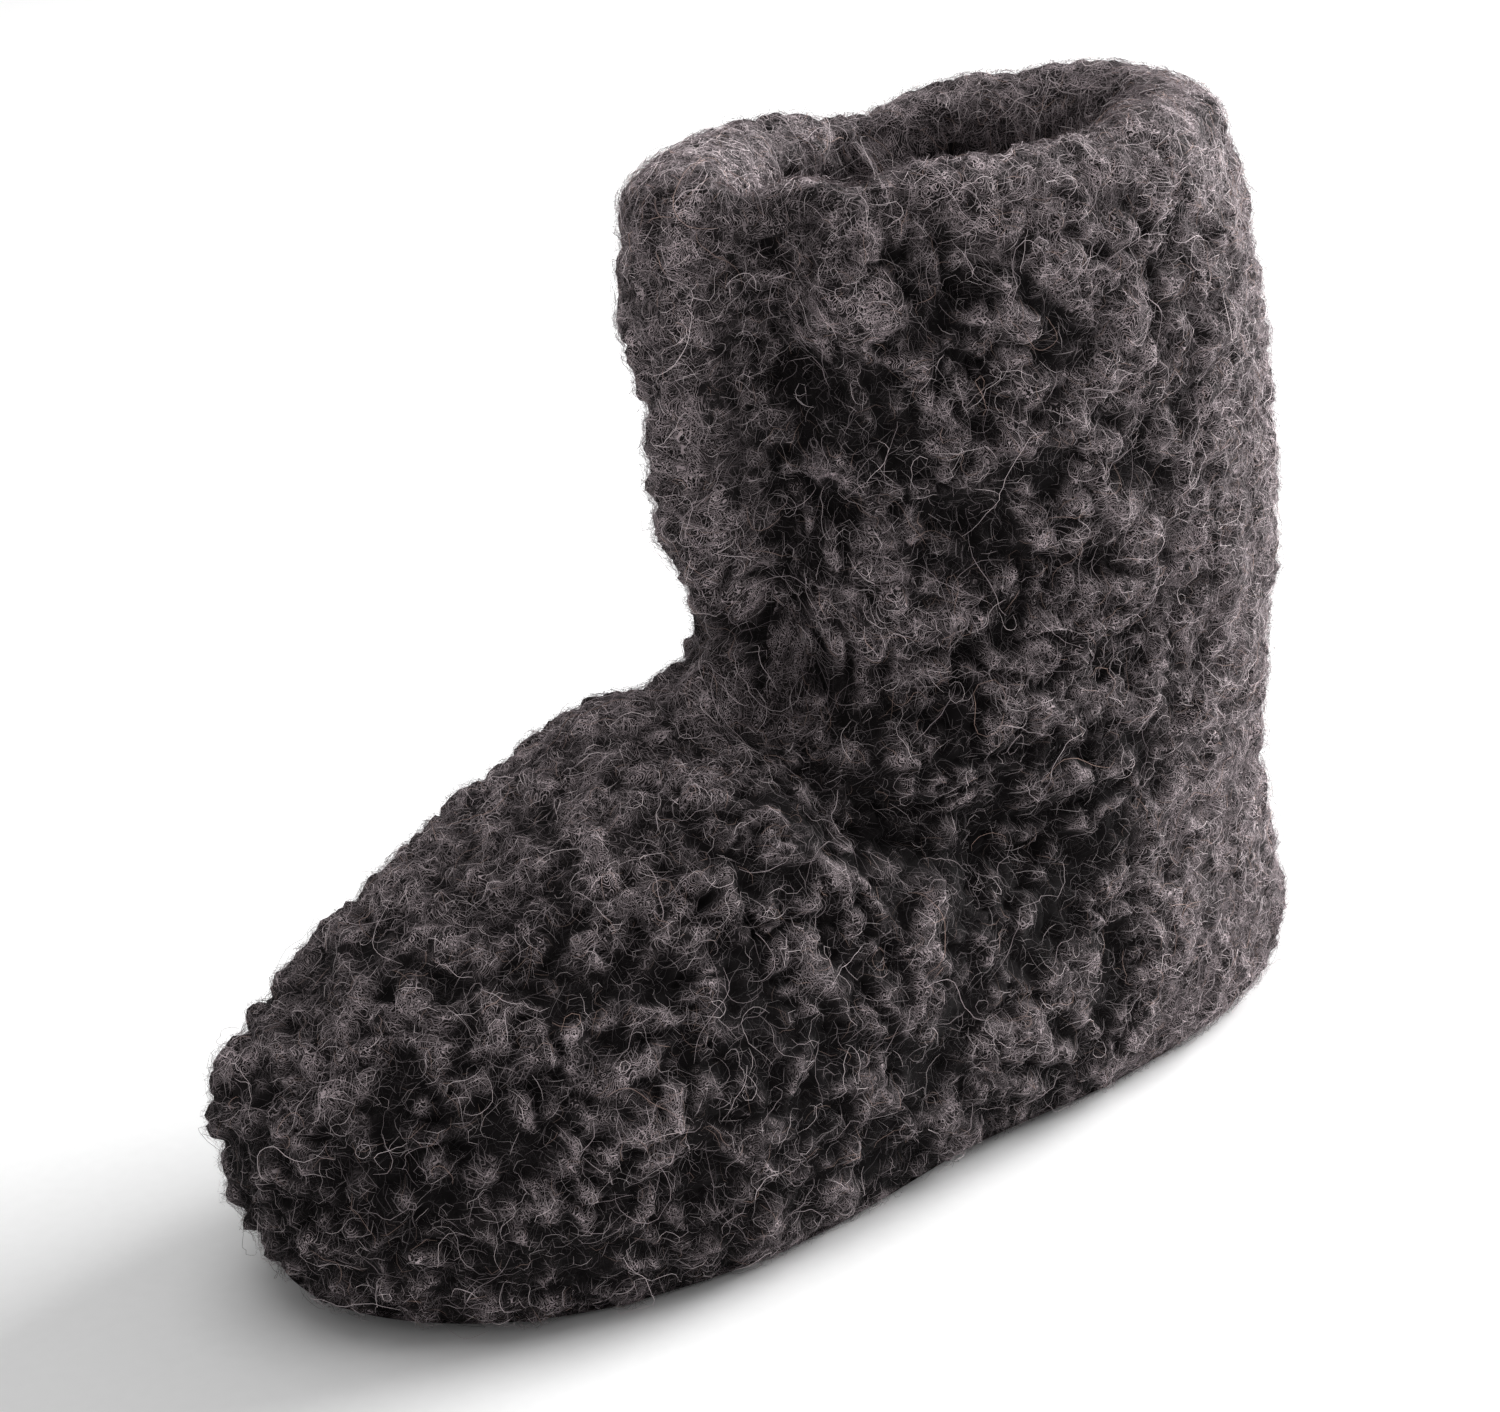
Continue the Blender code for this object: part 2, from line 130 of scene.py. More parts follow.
@dataclass(frozen=True)
class SlipperForm:
    """The slipper's form as loops from the sole seam to the rim, as in the CAD part."""

    length: float = 0.275
    ball_width: float = 0.116
    heel_width: float = 0.097
    toe_shift: float = 0.008
    ankle_front: float = 0.158
    ankle_height: float = 0.106
    shaft_height: float = 0.214
    shaft_setback: float = 0.024
    shaft_depth: float = 0.145
    shaft_width: float = 0.093
    corner: float = 2.35
    lip_radius: float = 0.007
    wall: float = 0.010
    seam_margin: float = 0.009
    sole_inset: float = 0.0035
    gap: float = 0.0003
    seam_height: float = 0.0043
    skirt_height: float = 0.001
    skirt_reach: float = 0.012
    arch_rise: float = 0.0025
    toe_spring: float = 0.006
    sections: Table = Table(
        "way rear rear_level toe collar front_level spread foot",
        (
            (0.00, 0.28, 0.00, 0.89, 0.00, 0.00, 0.83, 1.00),
            (0.05, 0.16, 0.04, 0.95, 0.00, 0.07, 0.93, 1.00),
            (0.12, 0.05, 0.15, 0.97, 0.00, 0.18, 0.99, 1.00),
            (0.20, 0.18, 0.29, 0.98, 0.00, 0.37, 1.00, 1.00),
            (0.29, 0.32, 0.46, 0.89, 0.00, 0.51, 0.97, 0.90),
            (0.38, 0.30, 0.60, 0.71, 0.00, 0.68, 0.93, 0.70),
            (0.47, 0.23, 0.76, 0.41, 0.00, 0.87, 0.94, 0.45),
            (0.56, 0.22, 0.93, 0.12, 0.00, 1.00, 0.91, 0.22),
            (0.64, 0.26, 1.09, 0.00, 0.00, 1.06, 0.96, 0.08),
            (0.73, 0.34, 1.29, 0.00, 0.28, 1.27, 0.97, 0.00),
            (0.82, 0.54, 1.58, 0.00, 0.57, 1.55, 1.01, 0.00),
            (0.92, 0.74, 1.83, 0.00, 0.93, 1.80, 1.00, 0.00),
            (1.00, 1.00, 1.98, 0.00, 0.88, 1.95, 0.95, 0.00),
        ),
    )
    foot_plan: Table = Table(
        "along centre heel ball",
        (
            (0.00, 0.0, 1.00, 0.00),
            (0.15, 0.0, 0.98, 0.00),
            (0.40, 0.4, 0.62, 0.36),
            (0.55, 0.3, 0.24, 0.71),
            (0.70, 0.3, 0.00, 0.98),
            (0.85, 0.4, 0.00, 0.98),
            (1.00, 1.0, 0.00, 0.91),
        ),
    )
    shaft_plan: Table = Table("across width", ((0.0, 0.88), (0.30, 1.0), (0.60, 0.97), (1.0, 0.70)))
    sole_profile: Table = Table(
        "along arch spring",
        ((0, 0, 0), (0.28, 0, 0), (0.45, 1, 0), (0.60, 0, 0), (0.77, 0, 0), (0.90, 0, 0.4), (1, 0, 1)),
    )
    folds: tuple[Fold, ...] = (
        Fold(-1, (0.585, 2.05), (0.575, 1.20), 0.011, 0.0045),
        Fold(-1, (0.575, 1.12), (0.545, 0.82), 0.010, 0.0050),
        Fold(-1, (0.545, 0.82), (0.390, 0.68), 0.011, 0.0035),
        Fold(-1, (0.540, 1.38), (0.390, 1.18), 0.012, 0.0035),
        Fold(-1, (0.500, 1.90), (0.445, 1.55), 0.010, 0.0030),
        Fold(1, (0.570, 1.15), (0.540, 0.85), 0.010, 0.0045),
        Fold(1, (0.560, 1.60), (0.420, 1.35), 0.012, 0.0035),
        Fold(1, (0.300, 2.05), (0.330, 1.75), 0.012, 0.0035),
    )
    origin: tuple[float, float, float] = (0.00261, 0.13702, 0.0)

    @property
    def rim_height(self) -> float:
        """Height of the rim under the rolled lip."""
        return self.shaft_height - self.lip_radius

    def rise_of(self, level: Array) -> Array:
        """Height over the sole seam: level 1 is the ankle's crease and level 2 the rim."""
        foot = np.minimum(level, 1.0) * (self.ankle_height - self.seam_height)
        return foot + np.maximum(level - 1.0, 0.0) * (self.rim_height - self.ankle_height)

    def sole_lift(self, y: Array) -> Array:
        """Height of the sole's underside at its arch and its toe spring."""
        along = y / self.length
        arch = self.sole_profile.read("arch", along) * self.arch_rise
        return arch + self.sole_profile.read("spring", along) * self.toe_spring

    def rounded(self, value: Array) -> Array:
        """Sine or cosine of a loop with fuller corners than an oval."""
        return np.sign(value) * np.abs(value) ** (2.0 / self.corner)

    @staticmethod
    def angles(count: int) -> Array:
        """Places around a loop: 0 is the toe, and a quarter turn is the inner side."""
        turn = np.arange(count) / count * 2 * pi
        return turn + 0.18 * np.sin(2 * turn)

    def points(self, way: Array, angle: Array) -> Array:
        """Points of the form.

        Args:
            way: 0 at the sole seam and 1 at the rim.
            angle: place around the loop, as in angles.

        Returns:
            The points, with the coordinates last.
        """
        way, angle = np.broadcast_arrays(np.asarray(way, dtype=float), np.asarray(angle, dtype=float))
        table = self.sections
        across = 0.5 + 0.5 * self.rounded(np.cos(angle))
        rear_y = table.read("rear", way) * self.shaft_setback
        collar_front = self.shaft_setback + self.shaft_depth
        front_y = (
            self.ankle_front
            + table.read("toe", way) * (self.length - self.ankle_front)
            + table.read("collar", way) * (collar_front - self.ankle_front)
        )
        rear_rise = self.rise_of(table.read("rear_level", way))
        front_rise = self.rise_of(table.read("front_level", way))
        y = rear_y + (front_y - rear_y) * across
        rise = rear_rise + (front_rise - rear_rise) * across
        along = y / self.length
        foot = table.read("foot", way)
        foot_width = self.foot_plan.read("heel", along) * self.heel_width
        foot_width = foot_width + self.foot_plan.read("ball", along) * self.ball_width
        width = foot * foot_width + (1.0 - foot) * self.shaft_plan.read("width", across) * self.shaft_width
        centre = self.foot_plan.read("centre", along) * self.toe_shift * foot
        x = centre + 0.5 * width * table.read("spread", way) * self.rounded(np.sin(angle))
        settle = np.clip(1.0 - rise / self.ankle_height, 0.0, 1.0) ** 2
        skirt = np.clip(1.0 - rise / self.skirt_reach, 0.0, 1.0) ** 2
        skirt = (self.seam_height - self.skirt_height) * skirt
        z = self.seam_height + rise + self.sole_lift(y) * settle - skirt
        return np.stack([x, y, z], axis=-1)

    def normals(self, way: Array, angle: Array) -> Array:
        """Outward unit normals of the form."""
        small = 0.002
        low = np.clip(np.asarray(way) - small, 0.0, 1.0)
        high = np.clip(np.asarray(way) + small, 0.0, 1.0)
        up = self.points(high, angle) - self.points(low, angle)
        around = self.points(way, angle + small) - self.points(way, angle - small)
        return unit(np.cross(up, around))

    def fold_depth(self, points: Array, folds: Sequence[Fold] | None = None) -> Array:
        """How deep the folds press into the fleece at each point.

        Args:
            points: points of the form.
            folds: the folds, or the form's own if left out.

        Returns:
            Depths in metres.
        """
        depth = np.zeros(points.shape[:-1])
        for fold in self.folds if folds is None else folds:
            start, end = (
                np.array([share * self.length, self.seam_height + float(self.rise_of(np.float64(level)))])
                for share, level in (fold.start, fold.end)
            )
            run = end - start
            offset = points[..., 1:] - start
            share = np.clip((offset @ run) / (run @ run), 0.0, 1.0)
            distance = np.linalg.norm(offset - share[..., None] * run, axis=-1)
            reached = np.clip(fold.side * points[..., 0] / fold.reach, 0.0, 1.0)
            depth = depth + fold.depth * np.exp(-((distance / fold.reach) ** 2)) * reached
        return depth

    def seam_outline(self, count: int, inset: float) -> Array:
        """The sole seam's loop, moved in by the inset, at floor height plus the sole's lift."""
        loop = self.points(np.float64(0.0), self.angles(count))
        loop = loop + inward(loop) * inset
        loop[:, 2] = self.sole_lift(loop[:, 1])
        return loop


def inward(loop: Array) -> Array:
    """Level unit directions to the inside of a closed loop of points."""
    tangent = np.roll(loop, -1, axis=0) - np.roll(loop, 1, axis=0)
    direction = unit(np.stack([-tangent[:, 1], tangent[:, 0], np.zeros(len(loop))], axis=-1))
    return direction * np.sign((direction * (loop.mean(axis=0) - loop)).sum())


@dataclass
class SoftNoise:
    """Smooth random values through space, the same for the same seed."""

    seed: int
    size: float
    lattice: Array = field(init=False)

    def __post_init__(self) -> None:
        """Draws the lattice of random values."""
        self.lattice = np.random.default_rng(self.seed).uniform(-1.0, 1.0, (32, 32, 32, 3))

    def at(self, points: Array) -> Array:
        """Three values from -1 to 1 at each point."""
        scaled = points / self.size
        cell = np.floor(scaled).astype(int)
        share = scaled - cell
        share = share * share * (3.0 - 2.0 * share)
        total = np.zeros(points.shape)
        for corner in np.ndindex(2, 2, 2):
            spot = (cell + np.array(corner)) % 32
            weight = np.where(np.array(corner) == 1, share, 1.0 - share).prod(axis=-1)
            total += self.lattice[spot[..., 0], spot[..., 1], spot[..., 2]] * weight[..., None]
        return total


@dataclass
class SurfaceGrid:
    """A surface as rows of loops, closed around, that can be read between its points."""

    points: Array
    normals: Array
    sunk: Array
    painted_shade: Array
    across: Array = field(init=False)
    lean: Array = field(init=False)
    climb: Array = field(init=False)

    def __post_init__(self) -> None:
        """Measures how far a column and a row reach, and how far a row leans along the columns."""
        around = 0.5 * (np.roll(self.points, -1, axis=1) - np.roll(self.points, 1, axis=1))
        along = np.gradient(self.points, axis=0)
        self.across = np.maximum(np.linalg.norm(around, axis=-1), 1e-5)
        east = around / self.across[..., None]
        self.lean = (along * east).sum(axis=-1)
        self.climb = np.maximum(np.linalg.norm(along - self.lean[..., None] * east, axis=-1), 1e-5)

    @property
    def shape(self) -> tuple[int, int]:
        """Rows and columns."""
        return self.points.shape[0], self.points.shape[1]

    def scatter(self, count: int, random: np.random.Generator, weight: Array) -> tuple[Array, Array]:
        """Random places on the surface.

        Args:
            count: how many places.
            random: the source of chance.
            weight: how thickly they lie at each point.

        Returns:
            The places' rows and columns, with fractions.
        """
        edges = np.cumsum((self.across * self.climb * weight).ravel())
        chosen = np.searchsorted(edges, random.uniform(0.0, edges[-1], count))
        chosen = np.minimum(chosen, edges.size - 1)
        rows, columns = np.divmod(chosen, self.shape[1])
        return rows + random.uniform(-0.5, 0.5, count), columns + random.uniform(-0.5, 0.5, count)

    def corners(self, rows: Array, columns: Array) -> tuple[Array, Array, Array, Array, Array, Array]:
        """The two rows and two columns around each place, and its shares between them."""
        rows = np.clip(rows, 0.0, self.shape[0] - 1.001)
        low = rows.astype(int)
        left = np.floor(columns).astype(int)
        across = columns - left
        return low, low + 1, left % self.shape[1], (left + 1) % self.shape[1], rows - low, across

    def read(self, values: Array, rows: Array, columns: Array) -> Array:
        """A field of the grid read at each place."""
        low, high, left, right, up, across = self.corners(rows, columns)
        if values.ndim == 3:
            up, across = up[:, None], across[:, None]
        bottom = values[low, left] * (1 - across) + values[low, right] * across
        top = values[high, left] * (1 - across) + values[high, right] * across
        return bottom * (1 - up) + top * up

    def walk(self, rows: Array, columns: Array, heading: Array, step: Array) -> tuple[Array, Array]:
        """Places a step further on the surface.

        Args:
            rows: where each walk starts.
            columns: where each walk starts.
            heading: its direction in radians, from along the columns to up the rows.
            step: its length in metres.

        Returns:
            The new rows and columns.
        """
        low, _, left, _, _, _ = self.corners(rows, columns)
        row_move = np.sin(heading) * step / self.climb[low, left]
        column_move = (np.cos(heading) * step - row_move * self.lean[low, left]) / self.across[low, left]
        return np.clip(rows + row_move, 0.0, self.shape[0] - 1.01), columns + column_move


class Value:
    """A number inside a material, which ordinary arithmetic turns into Math nodes."""

    def __init__(self, graph: "Graph", socket: bpy.types.NodeSocket) -> None:
        """Wraps one output socket."""
        self.graph = graph
        self.socket = socket

    def math(self, operation: str, *terms: "Value | float", clamp: bool = False) -> "Value":
        """One Math node over the given terms.

        Args:
            operation: the Math node's operation.
            terms: its inputs, in order.
            clamp: whether the result is held between 0 and 1.

        Returns:
            The node's result.
        """
        node = self.graph.node(
            "ShaderNodeMath", {"operation": operation, "use_clamp": clamp}, dict(enumerate(terms))
        )
        return Value(self.graph, node.outputs[0])

    def __add__(self, other: "Value | float") -> "Value":
        """Sum."""
        return self.math("ADD", self, other)

    def __radd__(self, other: float) -> "Value":
        """Sum, from the right."""
        return self.math("ADD", other, self)

    def __sub__(self, other: "Value | float") -> "Value":
        """Difference."""
        return self.math("SUBTRACT", self, other)

    def __rsub__(self, other: float) -> "Value":
        """Difference, from the right."""
        return self.math("SUBTRACT", other, self)

    def __mul__(self, other: "Value | float") -> "Value":
        """Product."""
        return self.math("MULTIPLY", self, other)

    def __rmul__(self, other: float) -> "Value":
        """Product, from the right."""
        return self.math("MULTIPLY", other, self)

    def highest(self, other: "Value | float") -> "Value":
        """The larger of two."""
        return self.math("MAXIMUM", self, other)

    def held(self) -> "Value":
        """Held between 0 and 1."""
        return self.math("ADD", self, 0.0, clamp=True)

    def lines(self, cover: float) -> "Value":
        """Thin lines where the number passes a whole one, over the given share of each step."""
        return self.math("PINGPONG", self, 0.5).between(cover * 0.5, cover * 0.2)

    def between(self, low: float, high: float) -> "Value":
        """Eased share of the way from low to high."""
        node = self.graph.node(
            "ShaderNodeMapRange",
            {"interpolation_type": "SMOOTHSTEP"},
            {"Value": self, "From Min": low, "From Max": high},
        )
        return Value(self.graph, node.outputs["Result"])


class Graph:
    """Builds one material from nodes."""

    def __init__(self, name: str) -> None:
        """Starts an empty material."""
        self.material = bpy.data.materials.new(name)
        self.material.use_nodes = True
        self.tree = self.material.node_tree
        self.tree.nodes.clear()

    def node(
        self, kind: str, settings: Mapping[str, Any] | None = None, inputs: Mapping[Any, Any] | None = None
    ) -> bpy.types.Node:
        """Adds a node.

        Args:
            kind: the node's type.
            settings: properties, which are set first.
            inputs: socket values or links, by name or number.

        Returns:
            The new node.
        """
        node = self.tree.nodes.new(kind)
        for name, value in (settings or {}).items():
            setattr(node, name, value)
        for name, value in (inputs or {}).items():
            socket = node.inputs[name]
            if isinstance(value, Value):
                self.tree.links.new(value.socket, socket)
            elif isinstance(value, bpy.types.NodeSocket):
                self.tree.links.new(value, socket)
            else:
                socket.default_value = value
        return node

    def blend(self, share: Value | float, first: Any, second: Any) -> bpy.types.NodeSocket:
        """Colour between two, by the share."""
        colours = [(*item, 1.0) if isinstance(item, tuple) else item for item in (first, second)]
        inputs = {0: share, 6: colours[0], 7: colours[1]}
        return self.node("ShaderNodeMix", {"data_type": "RGBA"}, inputs).outputs[2]

    def vector(self, operation: str, *terms: Any) -> bpy.types.NodeSocket:
        """One Vector Math node."""
        node = self.node("ShaderNodeVectorMath", {"operation": operation}, dict(enumerate(terms)))
        return node.outputs[0]

    def place(self) -> bpy.types.NodeSocket:
        """Where on the piece the surface is."""
        return self.node("ShaderNodeTexCoord").outputs["Object"]

    def stored(self, name: str, output: str) -> bpy.types.NodeSocket:
        """A number or colour stored in the mesh."""
        return self.node("ShaderNodeAttribute", {"attribute_name": name}).outputs[output]

    def noise(self, place: Any, scale: float, detail: float = 2.0, rough: float = 0.5) -> Value:
        """Soft noise from 0 to 1."""
        settings = {"Vector": place, "Scale": scale, "Detail": detail, "Roughness": rough}
        return Value(self, self.node("ShaderNodeTexNoise", None, settings).outputs["Fac"])

    def surface(
        self, shader: Mapping[str, Any], height: Value | None = None, depth: float = 0.0
    ) -> bpy.types.Material:
        """Finishes the material with one shader.

        Args:
            shader: the shader's inputs.
            height: relief for the bump, if there is any.
            depth: the relief's depth in metres.

        Returns:
            The material.
        """
        shine = self.node("ShaderNodeBsdfPrincipled", None, shader)
        if height is not None:
            relief = {"Strength": 1.0, "Distance": depth, "Height": height}
            bump = self.node("ShaderNodeBump", None, relief)
            self.tree.links.new(bump.outputs[0], shine.inputs["Normal"])
        self.node("ShaderNodeOutputMaterial", None, {"Surface": shine.outputs[0]})
        return self.material


@dataclass(frozen=True)
class FleeceFinish:
    """Matted wool under the loose fibres: fine curled hairs over dark ground.

    Each coat of hairs is a noise scale, how many hairs cross one swing of the noise, and the share
    that they cover.
    """

    name: str = "matted_wool"
    # Near-black colour painted as shade deep in the gaps between tufts.
    painted_shade: Colour = (0.0026, 0.0022, 0.0023)
    ground: Colour = (0.0120, 0.0100, 0.0104)
    hair: Colour = (0.560, 0.473, 0.492)
    coats: tuple[tuple[float, float, float], ...] = (
        (190.0, 21.0, 0.26),
        (300.0, 15.0, 0.26),
        (470.0, 10.0, 0.28),
    )
    haze_scale: float = 190.0
    relief: float = 0.0004

    def material(self) -> bpy.types.Material:
        """The finish as a node material."""
        graph = Graph(self.name)
        place = graph.place()
        hairs = None
        for number, (scale, turns, cover) in enumerate(self.coats):
            aside = graph.vector("ADD", place, (0.31 * number, 0.17 + 0.2 * number, 0.05))
            swirl = graph.noise(aside, scale, 1.0, 0.6)
            fade = graph.noise(aside, scale * 0.8, 0.0)
            hair = (swirl * turns).lines(cover) * fade.between(0.38, 0.62)
            hairs = hair if hairs is None else hairs.highest(hair)
        # Painted shade: where the stored shade is high (gaps, curl dips, creases, the foot's sides and
        # toe), the hairs fade and the colour turns to the near-black shade colour.
        depth = Value(graph, graph.stored("painted_shade", "Fac"))
        haze = graph.noise(place, self.haze_scale).between(0.34, 0.66)
        lit = 1.0 - depth.between(0.15, 0.90)
        shown = hairs * (0.25 + 0.75 * haze) * (0.12 + 0.88 * lit)
        haired = graph.blend(shown, self.ground, self.hair)
        colour = graph.blend(0.8 * depth.between(0.45, 1.0), haired, self.painted_shade)
        shader = {"Base Color": colour, "Roughness": 0.95, "Specular IOR Level": 0.12}
        return graph.surface(shader, haze, self.relief)


@dataclass(frozen=True)
class FibreFinish:
    """Loose wool fibres, each with its own tint and darker grains along it."""

    name: str = "wool_fibres"
    grain_scale: float = 900.0
    grain_shade: float = 0.72

    def material(self) -> bpy.types.Material:
        """The finish as a node material."""
        graph = Graph(self.name)
        grain = graph.noise(graph.place(), self.grain_scale)
        tint = graph.stored("tint", "Color")
        inputs = {0: tint, "Scale": self.grain_shade}
        shade = graph.node("ShaderNodeVectorMath", {"operation": "SCALE"}, inputs).outputs[0]
        colour = graph.blend(grain.between(0.25, 0.75), shade, tint)
        return graph.surface({"Base Color": colour, "Roughness": 0.62, "Specular IOR Level": 0.24})


@dataclass(frozen=True)
class NapFinish:
    """A pressed or brushed nap with worn patches. Noise is its scale, detail and roughness."""

    name: str
    dark: Colour
    light: Colour
    nap: tuple[float, float, float]
    patch: tuple[float, float]
    shares: tuple[float, float, float]
    rough: float
    rough_swing: float
    shine: float
    relief: float

    def material(self) -> bpy.types.Material:
        """The finish as a node material."""
        graph = Graph(self.name)
        place = graph.place()
        nap = graph.noise(place, *self.nap)
        patch = graph.noise(place, *self.patch)
        nap_share, patch_share, offset = self.shares
        mixed = (nap * nap_share + patch * patch_share - offset).held()
        colour = graph.blend(mixed, self.dark, self.light)
        rough = self.rough
        if self.rough_swing:
            rough = patch.between(0.2, 0.8) * self.rough_swing + rough
        shader = {"Base Color": colour, "Roughness": rough, "Specular IOR Level": self.shine}
        return graph.surface(shader, nap, self.relief)


FELT = NapFinish(
    name="pressed_felt",
    dark=(0.022, 0.019, 0.019),
    light=(0.060, 0.052, 0.051),
    nap=(700.0, 5.0, 0.7),
    patch=(45.0, 2.0),
    shares=(0.8, 0.4, 0.2),
    rough=0.93,
    rough_swing=0.0,
    shine=0.1,
    relief=0.0006,
)
SUEDE = NapFinish(
    name="brushed_leather",
    dark=(0.016, 0.015, 0.015),
    light=(0.040, 0.037, 0.037),
    nap=(1400.0, 4.0, 0.65),
    patch=(60.0, 3.0),
    shares=(0.5, 0.9, 0.25),
    rough=0.74,
    rough_swing=0.14,
    shine=0.25,
    relief=0.0003,
)


@dataclass(frozen=True)
class FloorFinish:
    """Plain pale studio paper."""

    name: str = "pale_paper"
    pale: Colour = (0.86, 0.86, 0.86)
    paler: Colour = (0.89, 0.89, 0.89)
    grain_scale: float = 300.0

    def material(self) -> bpy.types.Material:
        """The finish as a node material."""
        graph = Graph(self.name)
        grain = graph.noise(graph.place(), self.grain_scale, 1.0)
        colour = graph.blend(grain, self.pale, self.paler)
        return graph.surface({"Base Color": colour, "Roughness": 0.9})


@dataclass
class MeshData:
    """What a mesh is made of, before it becomes a piece."""

    points: Array
    faces: Array
    bake: Array
    numbers: dict[str, Array] = field(default_factory=dict)
    colours: dict[str, Array] = field(default_factory=dict)
    normals: Array | None = None

    def piece(self, name: str, material: bpy.types.Material) -> bpy.types.Object:
        """Builds the piece.

        Args:
            name: the object's name.
            material: its one material.

        Returns:
            The new object, in the scene.
        """
        mesh = bpy.data.meshes.new(name)
        count, sides = self.faces.shape
        mesh.vertices.add(len(self.points))
        mesh.vertices.foreach_set("co", self.points.astype(np.float32).ravel())
        mesh.loops.add(count * sides)
        mesh.loops.foreach_set("vertex_index", self.faces.astype(np.int32).ravel())
        mesh.polygons.add(count)
        mesh.polygons.foreach_set("loop_start", np.arange(0, count * sides, sides, dtype=np.int32))
        mesh.update(calc_edges=True)
        mesh.shade_smooth()
        bake = mesh.uv_layers.new(name=BAKE_MAP)
        bake.data.foreach_set("uv", self.bake.astype(np.float32).ravel())
        for key, values in self.numbers.items():
            stored = mesh.attributes.new(key, "FLOAT", "POINT")
            stored.data.foreach_set("value", values.astype(np.float32).ravel())
        for key, values in self.colours.items():
            stored = mesh.attributes.new(key, "FLOAT_COLOR", "POINT")
            solid = np.concatenate([values, np.ones((len(values), 1))], axis=1)
            stored.data.foreach_set("color", solid.astype(np.float32).ravel())
        if self.normals is not None:
            mesh.normals_split_custom_set_from_vertices(self.normals.astype(np.float32))
        mesh.materials.append(material)
        made = bpy.data.objects.new(name, mesh)
        bpy.context.scene.collection.objects.link(made)
        return made


def grid_mesh(points: Array) -> MeshData:
    """Mesh over rows of closed loops that rise on the outer face.

    Args:
        points: rows, columns, coordinates.

    Returns:
        The mesh with its bake map.
    """
    rows, columns = points.shape[:2]
    index = np.arange(rows * columns).reshape(rows, columns)
    beside = np.roll(index, -1, axis=1)
    faces = np.stack([index[:-1], beside[:-1], beside[1:], index[1:]], axis=-1).reshape(-1, 4)
    row, column = np.divmod(np.arange((rows - 1) * columns), columns)
    corners = []
    for right, up in CELL_CORNERS:
        corners.append(np.stack([(column + right) / columns, (row + up) / (rows - 1)], axis=-1))
    bake = np.stack(corners, axis=1)
    return MeshData(points.reshape(-1, 3), faces, bake * 0.996 + 0.002)


@dataclass(frozen=True)
class GapNet:
    """A net of thin gaps between tufts, which lie where one channel of a soft noise passes zero."""

    seed: int
    channel: int
    size: float
    width: float
    strength: float
    patchiness: float

    def at(self, points: Array, patch: Array) -> Array:
        """How hollow the net leaves each point, more in some patches than in others."""
        noise = SoftNoise(self.seed, self.size).at(points)[..., self.channel]
        strength = self.strength + self.patchiness * patch[..., self.channel]
        return np.exp(-np.abs(noise) / self.width) * strength


